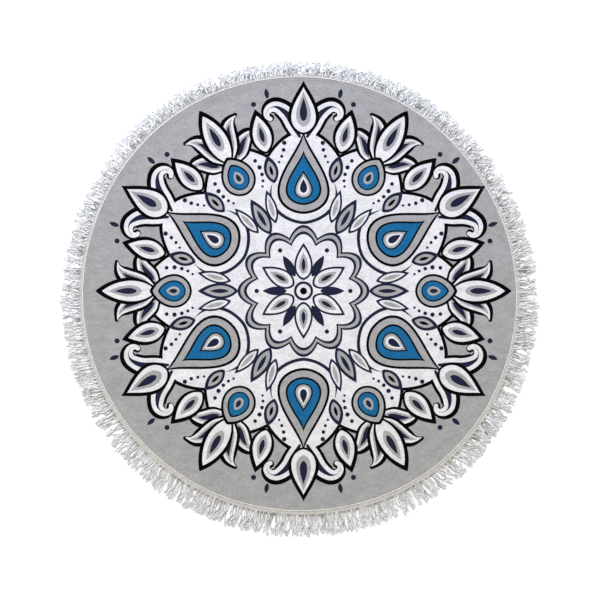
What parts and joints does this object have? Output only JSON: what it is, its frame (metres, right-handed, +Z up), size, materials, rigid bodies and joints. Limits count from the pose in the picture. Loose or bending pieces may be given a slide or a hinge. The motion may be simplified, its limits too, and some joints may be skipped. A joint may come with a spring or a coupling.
{
  "type": "round beach towel",
  "caption": "Round beach towel of printed cotton velour terry, lying flat, with a turned hem and a dense cotton fringe sewn round its edge.",
  "frame": {"origin": "under the middle of the towel's box, on the surface that the towel lies on", "axes": "+Z up, through the towel's thickness, from its underside to its printed face; +Y towards the top of the towel as it is seen from above, where the fringe shows narrowest; +X to the right of that"},
  "size_m": [1.5014, 1.4964, 0.0056],
  "materials": {
    "terry": "matte printed cotton velour terry",
    "fringe_cotton": "matte twisted cotton yarn"
  },
  "bodies": {
    "root": {"towel_cloth": "terry", "fringe": "fringe_cotton"}
  },
  "joints": []
}
